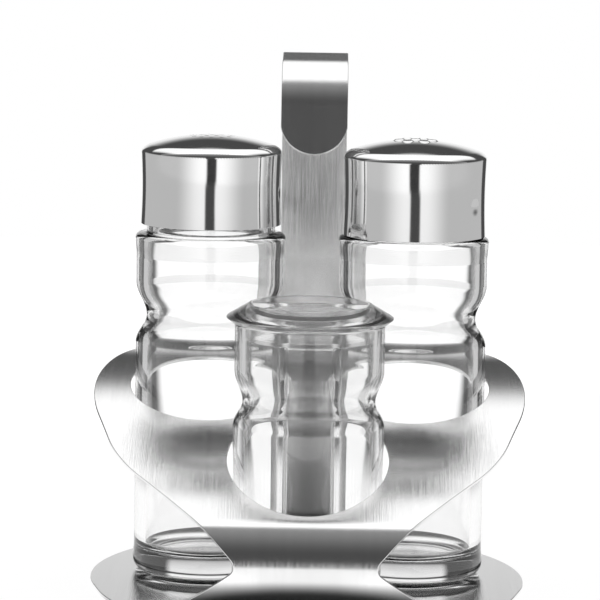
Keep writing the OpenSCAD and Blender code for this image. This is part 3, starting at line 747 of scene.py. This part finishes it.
# A cap's radius, its top and lower edge over the shoulder, its dimples' direction, and its holes'
# radius, pitch and number of rings
for side_name, side_x, radius, top, low, turn, hole_r, pitch, rings in (
        ("left", -shaker_x, 20.9, 29.2, 2.8, -8, 0.6, 3.0, 2),
        ("right", shaker_x, 21.3, 28.6, 0.3, -33, 1.2, 4.9, 1)):
    spots = [polar(pitch * ring, k * 60 / max(1, ring))
             for ring in range(rings + 1) for k in range(max(1, 6 * ring))]
    # Only the single ring of larger holes has raised lips
    lips = spots if rings == 1 else []
    face, reach = cap_face(radius, top - low, turn, (side_x, shaker_y, sheet + glass_h + low), lips, hole_r)
    rim = arc((0, 0), reach, 0, 360, 2)[:-1]
    holes = [arc(spot, hole_r, 360, 0, 15)[:-1] for spot in spots]
    steps = np.concatenate([np.arange(disc_step, radius - fine_zone, disc_step),
                            np.arange(radius - fine_zone, radius + fine_zone, fine_step),
                            np.arange(radius + fine_zone, reach - skirt_clearance, disc_step)])
    disc = []
    for k, s in enumerate(steps):
        around = max(least_around, min(most_around, int(around_per_mm * s)))
        disc.append(polar(s, np.linspace(0, 360, around, endpoint=False) + ring_shift * k))
    disc += [arc(spot, hole_r + out, 5, 365, 15)[:-1] for spot in lips for out in lip_rings]
    cap = blank_piece(side_name + "_steel_cap", face, [rim, *holes], np.vstack(disc), cap_wall, cap_edge,
                      polished_steel, probe=0.03)
    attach(cap, side_name + "_shaker_cap")
    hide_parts(side_name + "_cap")

# Toothpick jar
# A small pressed glass jar, open at the top, with a waist under its straight mouth and a soft bulge
# below the waist. It stands on the base and the lid plugs it.

jar_waist_r = 19.1
jar_waist_h, jar_waist_up, jar_waist_low = 58.2, 9.0, 7.0
jar_h, jar_wall, jar_heel, jar_lip, jar_points = 81.0, 3.0, 5.6, 0.75, 80


def jar_wall_at(z):
    """The jar's radius at height z: the bulge is a cosine hump just under the waist's valley."""
    swell = dip(z, jar_waist_h - jar_waist_low, jar_waist_low, 2 * jar_waist_low, jar_bulge_r - jar_r)
    return jar_r + swell - dip(z, jar_waist_h, jar_waist_up, jar_waist_low, jar_r - jar_waist_r)


heights = np.linspace(jar_waist_h - 3 * jar_waist_low, jar_waist_h + jar_waist_up, jar_points)
jar_mouth_r, jar_foot_r = jar_r - jar_wall, jar_r - jar_heel
jar_line = line(
    [(0, 1), (jar_foot_r - 2, 1), (jar_foot_r - 1.4, 0.4), (jar_foot_r - 1, 0)],
    arc((jar_foot_r, jar_heel), jar_heel, -90, 0, 8),
    np.stack([jar_wall_at(heights), heights], -1),
    arc((jar_r - jar_lip, jar_h - jar_lip), jar_lip, 0, 90, 15),
    arc((jar_mouth_r + jar_lip, jar_h - jar_lip), jar_lip, 90, 180, 15),
    np.stack([jar_wall_at(heights[::-1]) - jar_wall, heights[::-1]], -1),
    arc((jar_mouth_r - glass_round, glass_floor + glass_round), glass_round, 0, -90, 8),
    [(0, glass_floor)])
jar = turned_piece("small_jar", [jar_line], [(0, -jar_y, sheet)], clear_glass)
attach(jar, "jar")
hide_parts("toothpick_jar")

# Jar lid
# One clear plastic moulding that plugs the jar: a wide thin edge over the rim, a cone up to a raised
# ring, and a sunk middle with a skirt under it.

lid_r, lid_edge_h, lid_edge_lift, lid_edge_round, lid_seat_r = 23.9, 1.2, 0.25, 0.3, 22.3
lid_ring_r, lid_ring_h, lid_ring_w, lid_sunk_r, lid_sunk_h, lid_sunk_round = 18.0, 5.4, 1.2, 15.4, 2.6, 0.5
lid_wall, lid_skirt, lid_fit, lid_corner = 1.4, 5.0, 0.05, 0.3
skirt_r, skirt_tip = jar_mouth_r - lid_fit, 0.3 * lid_wall
under_h, fillet_h = lid_sunk_h - lid_wall, lid_sunk_h - 2 * lid_wall
lid_line = line(
    [(0, under_h), (skirt_r - 2 * lid_wall, under_h),
     (skirt_r - lid_wall - lid_corner, fillet_h + lid_corner), (skirt_r - lid_wall, fillet_h - lid_corner)],
    arc((skirt_r - lid_wall + skirt_tip, skirt_tip - lid_skirt), skirt_tip, 180, 290, 20),
    [(skirt_r, lid_wall - lid_skirt), (skirt_r, 0), (lid_seat_r, 0)],
    arc((lid_r - lid_edge_round, lid_edge_h + lid_edge_lift), lid_edge_round, -50, 60, 15),
    arc((lid_ring_r - lid_ring_w / 2, lid_ring_h - lid_ring_w / 2), lid_ring_w / 2, 45, 150, 10),
    arc((lid_sunk_r - lid_corner, lid_sunk_h + lid_sunk_round), lid_sunk_round, -20, -90, 15),
    [(0, lid_sunk_h)])
clear_plastic = clear("clear_plastic", 0.99, 1.22, 0.12, 0.92)
lid = turned_piece("plastic_lid", [lid_line], [(0, -jar_y, sheet + jar_h)], clear_plastic)
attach(lid, "lid")
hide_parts("jar_lid")
